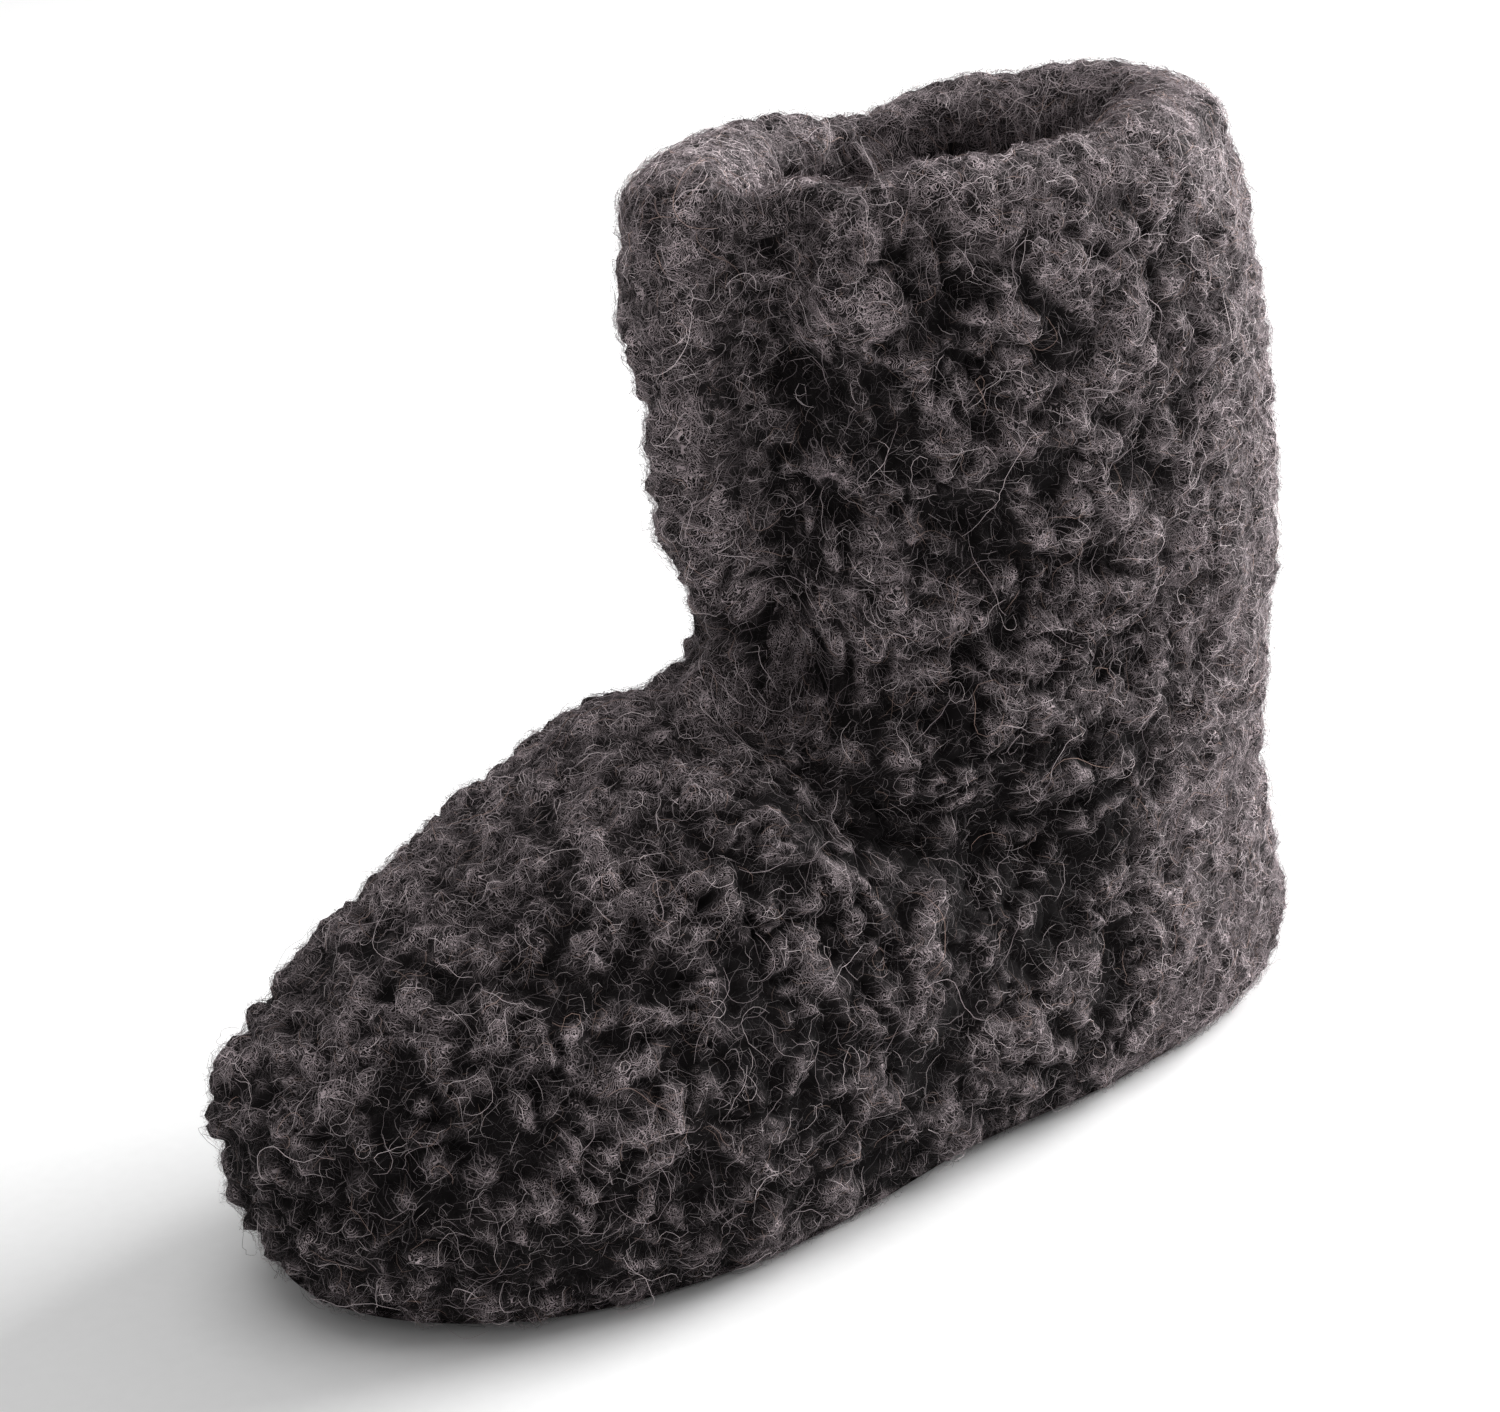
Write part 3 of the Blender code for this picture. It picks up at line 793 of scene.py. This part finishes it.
@dataclass
class Fleece:
    """The outer fleece with its rolled collar, and the start of its inner face.

    A span says where a change starts and ends. It is in metres along the foot or above the floor, for
    rim_band in metres under the rim, and for the three shade spans a share from 0 to 1.
    """

    form: SlipperForm
    finish: FleeceFinish = FleeceFinish()
    columns: int = 440
    outer_rows: int = 184
    lip_rows: int = 16
    inner_rows: int = 24
    inner_way: float = 0.70
    rest: float = -0.0016
    tuft_depth: float = 0.0056
    curl_depth: float = 0.0007
    curl_size: float = 0.0021
    swell_size: float = 0.017
    swell_height: float = 0.0010
    lower_edge: Span = (0.002, 0.009)
    lower_relief: float = 0.35
    heel_end: Span = (0.035, 0.100)
    heel_calm: float = 0.45
    rim_band: Span = (-0.004, 0.020)
    rim_open: float = 0.48
    shin_front: Span = (0.138, 0.156)
    shin_rise: Span = (0.115, 0.135)
    shin_calm: float = 0.40
    foot_rise: Span = (0.070, 0.120)
    foot_rear: Span = (0.050, 0.100)
    foot_top: Span = (0.110, 0.140)
    top_calm: float = 0.28
    collar_front: Span = (0.105, 0.145)
    collar_rear: Span = (0.030, 0.090)
    lip_swell: float = 0.0030
    front_swell: float = 0.0075
    rear_swell: float = 0.0085
    gap_shade: Span = (0.16, 0.98)
    tilt_shade: Span = (0.55, 0.98)
    hole_shade: Span = (0.0, 0.60)
    curl_shade: float = 0.2
    crease_shade: float = 0.45
    full_crease: float = 0.0050
    foot_shade: float = 0.31
    bends: tuple[tuple[int, float, float], ...] = ((50, 0.0085, 0.0034), (51, 0.0031, 0.0012))
    patch_size: float = 0.0120
    hole_size: float = 0.0050
    hole_share: float = 0.36
    gap_gain: float = 1.25
    gap_full: float = 0.78
    nets: tuple[GapNet, ...] = (
        GapNet(seed=11, channel=0, size=0.0069, width=0.19, strength=0.78, patchiness=0.40),
        GapNet(seed=12, channel=1, size=0.0053, width=0.17, strength=0.58, patchiness=0.45),
    )
    creases: tuple[Fold, ...] = (
        Fold(-1, (0.560, 2.06), (0.569, 1.66), 0.0090, 0.0056),
        Fold(-1, (0.569, 1.66), (0.563, 1.14), 0.0090, 0.0056),
        Fold(-1, (0.606, 1.92), (0.582, 1.18), 0.0080, -0.0024),
        Fold(-1, (0.564, 1.78), (0.538, 1.50), 0.0070, 0.0030),
        Fold(-1, (0.482, 1.99), (0.446, 1.82), 0.0070, 0.0036),
        Fold(-1, (0.446, 1.82), (0.418, 1.66), 0.0070, 0.0038),
        Fold(-1, (0.424, 1.92), (0.400, 1.70), 0.0080, -0.0012),
        Fold(-1, (0.515, 1.66), (0.480, 1.46), 0.0080, 0.0034),
        Fold(-1, (0.533, 1.37), (0.420, 1.33), 0.0070, 0.0038),
        Fold(-1, (0.420, 1.33), (0.350, 1.22), 0.0070, 0.0022),
        Fold(-1, (0.622, 0.97), (0.560, 1.05), 0.0075, 0.0042),
        Fold(-1, (0.560, 1.05), (0.480, 0.97), 0.0075, 0.0040),
        Fold(-1, (0.568, 0.90), (0.512, 0.74), 0.0075, 0.0036),
        Fold(-1, (0.512, 0.74), (0.360, 0.57), 0.0080, 0.0024),
        Fold(-1, (0.891, 0.43), (0.955, 0.34), 0.0090, 0.0022),
        Fold(1, (0.602, 1.60), (0.578, 1.24), 0.0180, -0.0044),
        Fold(1, (0.600, 1.00), (0.500, 0.94), 0.0070, 0.0028),
        Fold(1, (0.520, 0.82), (0.380, 0.62), 0.0080, 0.0024),
        Fold(1, (0.430, 1.80), (0.380, 1.52), 0.0070, 0.0026),
    )
    grid: SurfaceGrid = field(init=False)

    def outer_ways(self, around: Array) -> Array:
        """Ways of the outer rows, which then lie about equally far apart where they spread most."""
        fine = np.linspace(0.0, 1.0, 400)
        steps = np.linalg.norm(np.diff(self.form.points(fine[:, None], around), axis=0), axis=-1)
        travelled = np.concatenate([[0.0], np.cumsum(np.percentile(steps, 85, axis=1))])
        return np.interp(np.linspace(0.0, travelled[-1], self.outer_rows), travelled, fine)

    def base(self) -> tuple[Array, Array]:
        """Points and normals of the bare surface, row by row."""
        form = self.form
        around = form.angles(self.columns)[None, :]
        ways = self.outer_ways(around)[:, None]
        outer = form.points(ways, around)
        outer_normals = form.normals(ways, around)
        top = outer[-1]
        into = inward(top)
        turn = (pi * np.arange(1, self.lip_rows + 1) / self.lip_rows)[:, None, None]
        up = np.array([0.0, 0.0, 1.0])
        lip = top + form.lip_radius * (into * (1 - np.cos(turn)) + up * np.sin(turn))
        lip_normals = up * np.sin(turn) - into * np.cos(turn)
        ways = np.linspace(0.985, self.inner_way, self.inner_rows)[:, None]
        inner, inner_normals = inner_face(form, ways, around)
        points = np.concatenate([outer, lip, inner])
        normals = np.concatenate([outer_normals, lip_normals, inner_normals])
        above = smooth_step(points[..., 2] - form.seam_height - form.sole_lift(points[..., 1]), 0.0, 0.008)
        pressed = (form.fold_depth(points) + form.fold_depth(points, self.creases)) * above
        pressed[self.outer_rows + self.lip_rows :] = 0.0
        return points + normals * (self.plump(points) - pressed)[..., None], normals

    def openness(self, points: Array) -> Array:
        """How open the tufts are: less at the heel, the collar and the shin, where wool is denser."""
        along, height = points[..., 1], points[..., 2]
        heel = 1.0 - smooth_step(along, *self.heel_end)
        under_rim = smooth_step(self.form.rim_height - height, *self.rim_band)
        shin = smooth_step(along, *self.shin_front) * smooth_step(height, *self.shin_rise)
        dense = 1.0 - self.heel_calm * heel
        dense *= self.rim_open + (1.0 - self.rim_open) * under_rim
        return dense * (1.0 - self.shin_calm * shin)

    def hollows(self, points: Array) -> Array:
        """How hollow the wool is at each point, from 0 on a tuft to 1 in a gap between tufts."""
        bent = points
        for seed, size, reach in self.bends:
            bent = bent + reach * SoftNoise(seed, size).at(points)
        patch = SoftNoise(13, self.patch_size).at(points)
        hole = smooth_step(SoftNoise(14, self.hole_size).at(bent)[..., 2], *self.hole_shade)
        value = sum(net.at(bent, patch) for net in self.nets) + self.hole_share * hole
        return (1.0 - np.exp(-self.gap_gain * value)) / self.gap_full * self.openness(points)

    def plump(self, points: Array) -> Array:
        """How far the collar's lip swells inward: most at the front, where its sides nearly meet."""
        row = np.arange(len(points)) - self.outer_rows - 0.3 * self.lip_rows
        over = smooth_step(row, 0.0, 0.7 * self.lip_rows)
        over = over * (1.0 - smooth_step(row, self.lip_rows, 1.9 * self.lip_rows))
        front = smooth_step(points[..., 1], *self.collar_front)
        rear = 1.0 - smooth_step(points[..., 1], *self.collar_rear)
        return over[:, None] * (self.lip_swell + self.front_swell * front + self.rear_swell * rear)

    def shaded_side(self, points: Array, normals: Array) -> Array:
        """Where shade is painted on the foot's wool, whose sides and toe get less light: 1 there, 0 on the
        instep, heel and shaft.
        """
        low = 1.0 - smooth_step(points[..., 2], *self.foot_rise)
        middle = smooth_step(points[..., 1], *self.foot_rear)
        return low * middle * (1.0 - smooth_step(normals[..., 2], *self.tilt_shade))

    def build(self) -> bpy.types.Object:
        """Builds the fleece's mesh and keeps its grid for the fibres."""
        points, normals = self.base()
        upward = np.clip(normals[..., 2], 0.0, 1.0) * smooth_step(points[..., 1], *self.foot_top)
        hollow = self.hollows(points) * (1.0 - self.top_calm * upward)
        curl = SoftNoise(23, self.curl_size).at(points)[..., 0]
        swell = SoftNoise(31, self.swell_size).at(points)[..., 0]
        sunk = self.rest + self.tuft_depth * hollow + self.curl_depth * (0.5 + curl)
        sunk = sunk - self.swell_height * swell
        raised = smooth_step(points[..., 2], *self.lower_edge)
        sunk = sunk * (self.lower_relief + (1.0 - self.lower_relief) * raised)
        # Painted shade, stored on the mesh for the wool's colour and the fibres' tints: darker in the gaps
        # between tufts, in curl dips, along creases and on the foot's sides and toe.
        creased = np.clip(self.form.fold_depth(points, self.creases) / self.full_crease, 0.0, 1.0)
        painted_shade = smooth_step(hollow, *self.gap_shade) + self.curl_shade * np.maximum(curl, 0.0)
        painted_shade = painted_shade + self.crease_shade * creased + self.foot_shade * self.shaded_side(points, normals)
        painted_shade = np.clip(painted_shade, 0.0, 1.0)
        self.grid = SurfaceGrid(points, normals, sunk, painted_shade)
        data = grid_mesh(points - normals * sunk[..., None] - np.array(self.form.origin))
        data.numbers["painted_shade"] = painted_shade
        piece = data.piece("fleece", self.finish.material())
        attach(piece, ROOT)
        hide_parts("upper")
        return piece


def inner_face(form: SlipperForm, ways: Array, around: Array) -> tuple[Array, Array]:
    """Points and normals of the upper's inner face at the given ways."""
    points = form.points(ways, around)
    normals = form.normals(ways, around)
    under_lip = np.clip((ways - 0.85) / 0.15, 0.0, 1.0)
    depth = form.wall + (2 * form.lip_radius - form.wall) * under_lip + form.fold_depth(points)
    return points - normals * depth[..., None], -normals


@dataclass
class Lining:
    """The upper's inner face under the collar, down to the sole seam, and its edge around the sole."""

    form: SlipperForm
    finish: FleeceFinish
    columns: int = 160
    rows: int = 60
    top_way: float = 0.70
    swell_size: float = 0.006
    swell_height: float = 0.0005
    shade: float = 0.45

    def build(self) -> bpy.types.Object:
        """Builds the lining's mesh."""
        form = self.form
        around = form.angles(self.columns)[None, :]
        ways = np.linspace(self.top_way, 0.10, self.rows)[:, None]
        points, normals = inner_face(form, ways, around)
        swell = SoftNoise(61, self.swell_size).at(points)[..., 0] * self.swell_height
        points = points + normals * swell[..., None]
        beside_sole = form.sole_inset - form.gap
        edge = (
            (form.seam_margin, form.seam_height),
            (beside_sole, form.seam_height),
            (beside_sole, form.skirt_height),
            (0.0, form.skirt_height),
        )
        under = []
        for inset, height in edge:
            under.append(form.seam_outline(self.columns, inset) + np.array([0.0, 0.0, height]))
        points = np.concatenate([points, np.array(under)])
        data = grid_mesh(points - np.array(form.origin))
        # Painted shade, even over the whole lining and its edge around the sole.
        data.numbers["painted_shade"] = np.full(points.shape[:2], self.shade)
        piece = data.piece("lining", self.finish.material())
        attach(piece, ROOT)
        return piece


@dataclass(frozen=True)
class Tints:
    """Colours that wool fibres take, with how often each comes up."""

    colours: tuple[Colour, ...] = (
        (0.060, 0.049, 0.053),
        (0.170, 0.140, 0.149),
        (0.370, 0.313, 0.327),
        (0.720, 0.630, 0.645),
        (0.360, 0.250, 0.215),
    )
    shares: tuple[float, ...] = (0.22, 0.34, 0.26, 0.14, 0.04)

    def draw(self, count: int, random: np.random.Generator) -> Array:
        """A tint for each of count fibres."""
        chosen = random.choice(len(self.colours), count, p=self.shares)
        return np.array(self.colours)[chosen] * random.uniform(0.82, 1.18, (count, 1))


# Curls and stray hairs are lighter than the rest.
BRIGHT_TINTS = Tints(shares=(0.08, 0.27, 0.36, 0.23, 0.06))


@dataclass(frozen=True)
class FibreStyle:
    """How many fibres of one kind there are and how they lie. Spans are the least and the most."""

    count: int
    seed: int
    spots: int
    length: Span
    width: Span
    lift: Span
    arch: Span
    stand: Span
    curl: float
    follow: Span
    spread: float
    roll: float = 1.1


@dataclass
class FibreBundle:
    """Paths of many fibres over a surface."""

    paths: Array
    normals: Array
    tints: Array
    widths: Array
    rolls: Array

    def part(self, chosen: Array) -> "FibreBundle":
        """Some of the fibres."""
        fields = (self.paths, self.normals, self.tints, self.widths, self.rolls)
        return FibreBundle(*(values[chosen] for values in fields))

    def frames(self) -> tuple[Array, Array]:
        """Sideways and facing directions along each fibre, rolled."""
        tangent = unit(np.gradient(self.paths, axis=1))
        side = unit(np.cross(tangent, self.normals))
        face = np.cross(side, tangent)
        turn_cos = np.cos(self.rolls)[:, None, None]
        turn_sin = np.sin(self.rolls)[:, None, None]
        return side * turn_cos + face * turn_sin, face * turn_cos - side * turn_sin

    def loft(self, arms: Sequence[Array], ends: Span, lanes: int) -> MeshData:
        """Tapering faces along each fibre.

        Args:
            arms: directions from the path to each edge.
            ends: where on a half turn the taper starts and ends.
            lanes: how many faces lie side by side.

        Returns:
            The mesh with its tints.
        """
        count, spots = self.paths.shape[:2]
        sides = len(arms)
        taper = np.sqrt(np.sin(np.linspace(ends[0] * pi, ends[1] * pi, spots)))
        radius = (0.5 * self.widths[:, None] * taper[None, :])[..., None]
        points = np.stack([self.paths + radius * arm for arm in arms], axis=2)
        index = np.arange(count * spots * sides).reshape(count, spots, sides)
        beside = np.roll(index, -1, axis=2)
        faces = np.stack([index[:, :-1], beside[:, :-1], beside[:, 1:], index[:, 1:]], axis=-1)
        faces = faces[:, :, :lanes].reshape(-1, 4)
        tints = np.repeat(self.tints.reshape(-1, 3), sides, axis=0)
        return MeshData(points.reshape(-1, 3), faces, self.bake(lanes), colours={"tint": tints})

    def strips(self) -> MeshData:
        """Flat tapering strips, one along each fibre, lit as part of the wool's surface."""
        side, face = self.frames()
        data = self.loft([-side, side], (0.10, 0.93), 1)
        data.normals = np.repeat(unit(self.normals * 0.55 + face).reshape(-1, 3), 2, axis=0)
        return data

    def tubes(self) -> MeshData:
        """Three-sided tapering tubes, one along each fibre."""
        side, face = self.frames()
        arms = [side * np.cos(turn) + face * np.sin(turn) for turn in np.arange(3) * 2 * pi / 3]
        return self.loft(arms, (0.12, 0.95), 3)

    def bake(self, lanes: int) -> Array:
        """A bake map that gives each fibre its own small cell."""
        count, spots = self.paths.shape[:2]
        across = int(np.ceil(np.sqrt(count)))
        row, column = np.divmod(np.arange(count), across)
        low = np.stack([column, row], axis=-1)[:, None, None, None, :]
        step = np.arange(spots - 1)[:, None]
        lane = np.arange(lanes)[None, :]
        corners = []
        for right, up in CELL_CORNERS:
            corner_u = (lane + right) / lanes + step * 0.0
            corner_v = (step + up) / (spots - 1) + lane * 0.0
            corners.append(np.stack([corner_u, corner_v], axis=-1))
        local = np.stack(corners, axis=2)[None] * 0.8 + 0.1
        return ((low + local) / across).reshape(-1, 2)


@dataclass
class FibreLayer:
    """Fibres of one style grown over the fleece.

    Each step of a fibre keeps a part of its bend and takes a new part by chance. Tints carry painted shade:
    open fibres have the brightness open_bright, and those deep in a gap lose pit_dim of it.
    """

    grid: SurfaceGrid
    form: SlipperForm
    style: FibreStyle
    tints: Tints
    flow_size: float = 0.011
    bend_kept: float = 0.75
    bend_new: float = 0.66
    floor_clear: float = 0.0006
    open_bright: float = 1.55
    pit_dim: float = 1.47

    def grow(self, count: int, weight: Array) -> FibreBundle:
        """Lays fibres over the fleece.

        Args:
            count: how many.
            weight: how thickly they lie at each point of the grid.

        Returns:
            The fibres.
        """
        style = self.style
        random = np.random.default_rng(style.seed)
        rows, columns = self.grid.scatter(count, random, weight)
        flow = SoftNoise(77, self.flow_size).at(self.grid.read(self.grid.points, rows, columns))
        heading = np.arctan2(flow[:, 0], flow[:, 1]) + random.normal(0.0, style.spread, count)
        length = random.uniform(*style.length, count)
        bend = random.normal(0.0, style.curl, count)
        follow = random.uniform(*style.follow, count)
        lift = random.uniform(*style.lift, count)
        arch = random.uniform(*style.arch, count)
        stand = random.uniform(*style.stand, count)
        step = length / (style.spots - 1)
        paths = np.empty((count, style.spots, 3))
        normals = np.empty((count, style.spots, 3))
        shade = np.empty((count, style.spots))
        for spot in range(style.spots):
            share = spot / (style.spots - 1)
            normal = unit(self.grid.read(self.grid.normals, rows, columns))
            height = lift + arch * np.sin(pi * share) + stand * share**1.5
            height = height - follow * self.grid.read(self.grid.sunk, rows, columns)
            paths[:, spot] = self.grid.read(self.grid.points, rows, columns) + normal * height[:, None]
            normals[:, spot] = normal
            shade[:, spot] = self.grid.read(self.grid.painted_shade, rows, columns)
            rows, columns = self.grid.walk(rows, columns, heading, step)
            bend = self.bend_kept * bend + self.bend_new * random.normal(0.0, style.curl, count)
            heading = heading + bend * step
        paths[..., 2] = np.maximum(paths[..., 2], self.floor_clear)
        # Painted shade: fibres that lie low in gaps, along creases and on the foot's sides are darkened in
        # their tint; open ones are lighter.
        buried = np.clip(shade * follow[:, None] ** 2, 0.0, 1.0)
        bright = self.open_bright - self.pit_dim * buried
        tint = self.tints.draw(count, random)[:, None, :] * bright[..., None]
        widths = random.uniform(*style.width, count)
        rolls = random.uniform(-style.roll, style.roll, count)
        return FibreBundle(paths - np.array(self.form.origin), normals, tint, widths, rolls)


class Zone(Enum):
    """Parts of the fleece with a piece of fibres each: on the shaft or not, rear end, front end."""

    TOE = (False, 0.180, 1.0)
    MIDFOOT = (False, 0.095, 0.180)
    HEEL = (False, -1.0, 0.095)
    SHAFT_FRONT = (True, 0.095, 1.0)
    SHAFT_REAR = (True, -1.0, 0.095)

    def holds(self, points: Array, form: SlipperForm) -> Array:
        """Which points lie in this zone."""
        on_shaft, rear, front = self.value
        y = points[..., 1] + form.origin[1]
        return ((points[..., 2] > form.ankle_height) == on_shaft) & (y > rear) & (y <= front)


@dataclass
class WoolPile:
    """All loose wool: the tangle, curls over it, short fuzz that stands out, and long stray hairs."""

    fleece: Fleece
    finish: FibreFinish = FibreFinish()
    pit_thin: float = 0.6
    inner_thin: float = 0.5
    collar_rows: int = 8
    tangle: FibreStyle = FibreStyle(
        count=72000,
        seed=101,
        spots=4,
        length=(0.0030, 0.0066),
        width=(0.00005, 0.00009),
        lift=(0.0, 0.0006),
        arch=(0.0002, 0.0011),
        stand=(-0.0003, 0.0010),
        curl=560.0,
        follow=(0.7, 1.0),
        spread=1.3,
    )
    curls: FibreStyle = FibreStyle(
        count=6000,
        seed=151,
        spots=10,
        length=(0.008, 0.015),
        width=(0.00006, 0.00009),
        lift=(0.0001, 0.0006),
        arch=(0.0003, 0.0013),
        stand=(-0.0005, 0.0009),
        curl=460.0,
        follow=(0.45, 0.95),
        spread=2.0,
    )
    fuzz: FibreStyle = FibreStyle(
        count=44000,
        seed=202,
        spots=3,
        length=(0.0012, 0.0034),
        width=(0.00005, 0.00008),
        lift=(-0.0002, 0.0003),
        arch=(0.0, 0.0004),
        stand=(0.0004, 0.0022),
        curl=420.0,
        follow=(0.85, 1.0),
        spread=3.0,
    )
    stray: FibreStyle = FibreStyle(
        count=320,
        seed=303,
        spots=15,
        length=(0.010, 0.034),
        width=(0.00008, 0.00012),
        lift=(0.0002, 0.0012),
        arch=(0.0006, 0.0026),
        stand=(-0.0006, 0.0020),
        curl=170.0,
        follow=(0.3, 0.7),
        spread=2.0,
    )

    def grow(self, style: FibreStyle, tints: Tints = Tints()) -> FibreBundle:
        fleece = self.fleece
        weight = 1.0 - self.pit_thin * fleece.grid.painted_shade
        weight[fleece.outer_rows + fleece.lip_rows + self.collar_rows :] *= self.inner_thin
        share = 1.0
        return FibreLayer(fleece.grid, fleece.form, style, tints).grow(int(style.count * share), weight)

    def build(self) -> list[bpy.types.Object]:
        """Builds the pieces of wool."""
        material = self.finish.material()
        tangle = self.grow(self.tangle)
        parts = {}
        for zone in Zone:
            inside = zone.holds(tangle.paths[:, 0], self.fleece.form)
            parts[f"tangle_{zone.name.lower()}"] = tangle.part(inside).strips()
        parts["curls"] = self.grow(self.curls, BRIGHT_TINTS).strips()
        parts["fuzz"] = self.grow(self.fuzz).strips()
        parts["stray_hairs"] = self.grow(self.stray, BRIGHT_TINTS).tubes()
        pieces = [data.piece(name, material) for name, data in parts.items()]
        for piece in pieces:
            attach(piece, ROOT)
        return pieces


@dataclass
class Slab:
    """A flat soft piece with the sole's outline, curve and rise. It takes the place of a CAD node.

    Inset is measured in from the fleece's outline, and bottom up from the floor.
    """

    form: SlipperForm
    node: str
    finish: NapFinish
    inset: float
    bottom: float
    thickness: float
    edge: float = 0.0012
    spine_ends: Span = (0.035, 0.225)
    columns: int = 180
    rings: int = 10
    edge_loops: int = 7

    def build(self) -> bpy.types.Object:
        """Builds the slab: rounded edges, and rings that close towards the middle line."""
        form = self.form
        spine = form.seam_outline(self.columns, self.inset)
        spine[:, 0] = form.foot_plan.read("centre", spine[:, 1] / form.length) * form.toe_shift
        spine[:, 1] = np.clip(spine[:, 1], *self.spine_ends)
        loops = []
        shares = np.linspace(0.0, 1.0, self.rings)
        for side in (0, 1):
            height = self.bottom + side * self.thickness
            flat = form.seam_outline(self.columns, self.inset + self.edge)
            for share in shares if side else shares[::-1]:
                loop = flat * (1.0 - share) + spine * share
                loop[:, 2] = form.sole_lift(loop[:, 1]) + height
                loops.append(loop)
            if side == 0:
                for turn in np.linspace(0.1, 0.9, self.edge_loops) * pi:
                    loop = form.seam_outline(self.columns, self.inset + self.edge * (1 - np.sin(turn)))
                    rise = self.thickness / 2 - np.cos(turn) * self.thickness / 2
                    loop[:, 2] += self.bottom + rise
                    loops.append(loop)
        data = grid_mesh(np.array(loops) - np.array(form.origin))
        piece = data.piece(self.node + "_soft", self.finish.material())
        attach(piece, ROOT)
        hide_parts(self.node)
        return piece


def stand(thing: bpy.types.Object, spot: Sequence[float], axes: Sequence[Array]) -> None:
    """Puts an object in the scene at the spot, with its own x, y and z along the axes."""
    turn = Matrix(np.array(axes).T.tolist()).to_4x4()
    thing.matrix_world = Matrix.Translation([float(value) for value in spot]) @ turn
    bpy.context.scene.collection.objects.link(thing)


@dataclass(frozen=True)
class PhotoView:
    """The photo's camera. Angles are degrees and focal is pixels at the photo's width."""

    azimuth: float = 235.64
    elevation: float = 20.08
    roll: float = -3.81
    distance: float = 0.6304
    focal: float = 3285.0
    width: float = 1500.0
    target: tuple[float, float, float] = (0.0097, 0.1806, 0.1106)
    pan: tuple[float, float] = (167.0, -26.0)
    margin: float = 0.95
    sensor: float = 36.0
    near: float = 0.05

    def place(self, origin: Sequence[float]) -> None:
        """Sets the scene's camera: at the photo's place, turned so that the slipper is centred."""
        azimuth, elevation, roll = np.radians([self.azimuth, self.elevation, self.roll])
        back = np.array(
            [np.sin(azimuth) * np.cos(elevation), -np.cos(azimuth) * np.cos(elevation), np.sin(elevation)]
        )
        right = np.array([np.cos(azimuth), np.sin(azimuth), 0.0])
        up = np.cross(back, right)
        turned = np.cos(roll) * right + np.sin(roll) * up
        up = np.cos(roll) * up - np.sin(roll) * right
        right = turned
        spot = np.array(self.target) - np.array(origin) + back * self.distance
        aim = unit(-back + right * self.pan[0] / self.focal + up * self.pan[1] / self.focal)
        right = unit(np.cross(aim, up))
        up = np.cross(right, aim)
        data = bpy.data.cameras.new("photo_view")
        data.sensor_fit = "HORIZONTAL"
        data.sensor_width = self.sensor
        data.lens = self.focal * self.margin / self.width * self.sensor
        data.clip_start = self.near
        camera = bpy.data.objects.new("photo_view", data)
        stand(camera, spot, (right, up, -aim))
        bpy.context.scene.camera = camera


@dataclass(frozen=True)
class SoftLight:
    """A large soft light that faces the slipper."""

    name: str
    spot: tuple[float, float, float]
    size: float
    power: float
    aim_height: float = 0.10

    def place(self) -> None:
        """Adds the light, white as a new light is."""
        data = bpy.data.lights.new(self.name, "AREA")
        data.shape = "DISK"
        data.size = self.size
        data.energy = self.power
        back = unit(np.array(self.spot) - np.array([0.0, 0.0, self.aim_height]))
        right = unit(np.cross(np.array([0.0, 0.0, 1.0]), back))
        light = bpy.data.objects.new(self.name, data)
        stand(light, self.spot, (right, np.cross(back, right), back))


@dataclass
class Studio:
    """Pale floor, soft light and the photo's camera."""

    form: SlipperForm
    floor_finish: FloorFinish = FloorFinish()
    sky: float = 0.40
    floor_size: float = 40.0
    view: PhotoView = PhotoView()
    lights: tuple[SoftLight, ...] = (
        SoftLight("rear_light", (-0.38, -2.72, 1.3), 1.9, 190.0),
        SoftLight("top_light", (0.1, 0.3, 3.6), 2.6, 42.0),
    )

    def build(self) -> None:
        """Builds the floor and the lights, and sets the camera."""
        world = bpy.data.worlds.new("studio")
        world.use_nodes = True
        background = world.node_tree.nodes["Background"]
        background.inputs["Color"].default_value = (1.0, 1.0, 1.0, 1.0)
        background.inputs["Strength"].default_value = self.sky
        bpy.context.scene.world = world
        bpy.context.scene.view_settings.view_transform = "Standard"
        bpy.ops.mesh.primitive_plane_add(size=self.floor_size, location=(0.0, 0.0, 0.0))
        floor = bpy.context.object
        floor.name = "floor"
        floor.data.materials.append(self.floor_finish.material())
        for light in self.lights:
            light.place()
        self.view.place(self.form.origin)


def build_slipper() -> None:
    """Builds the slipper's pieces, then the studio."""
    form = SlipperForm()
    fleece = Fleece(form)
    pieces = [fleece.build(), Lining(form, fleece.finish).build(), *WoolPile(fleece).build()]
    pieces.append(Slab(form, "insole", FELT, inset=0.0093, bottom=0.0043, thickness=0.0045).build())
    pieces.append(Slab(form, "outsole", SUEDE, inset=form.sole_inset, bottom=0.0, thickness=0.0040).build())
    for piece in pieces:
        LOG.info("%s: %d faces", piece.name, len(piece.data.polygons))
    Studio(form).build()


if __name__ == "__main__":
    logging.basicConfig(level=logging.INFO, format="%(message)s")
    build_slipper()
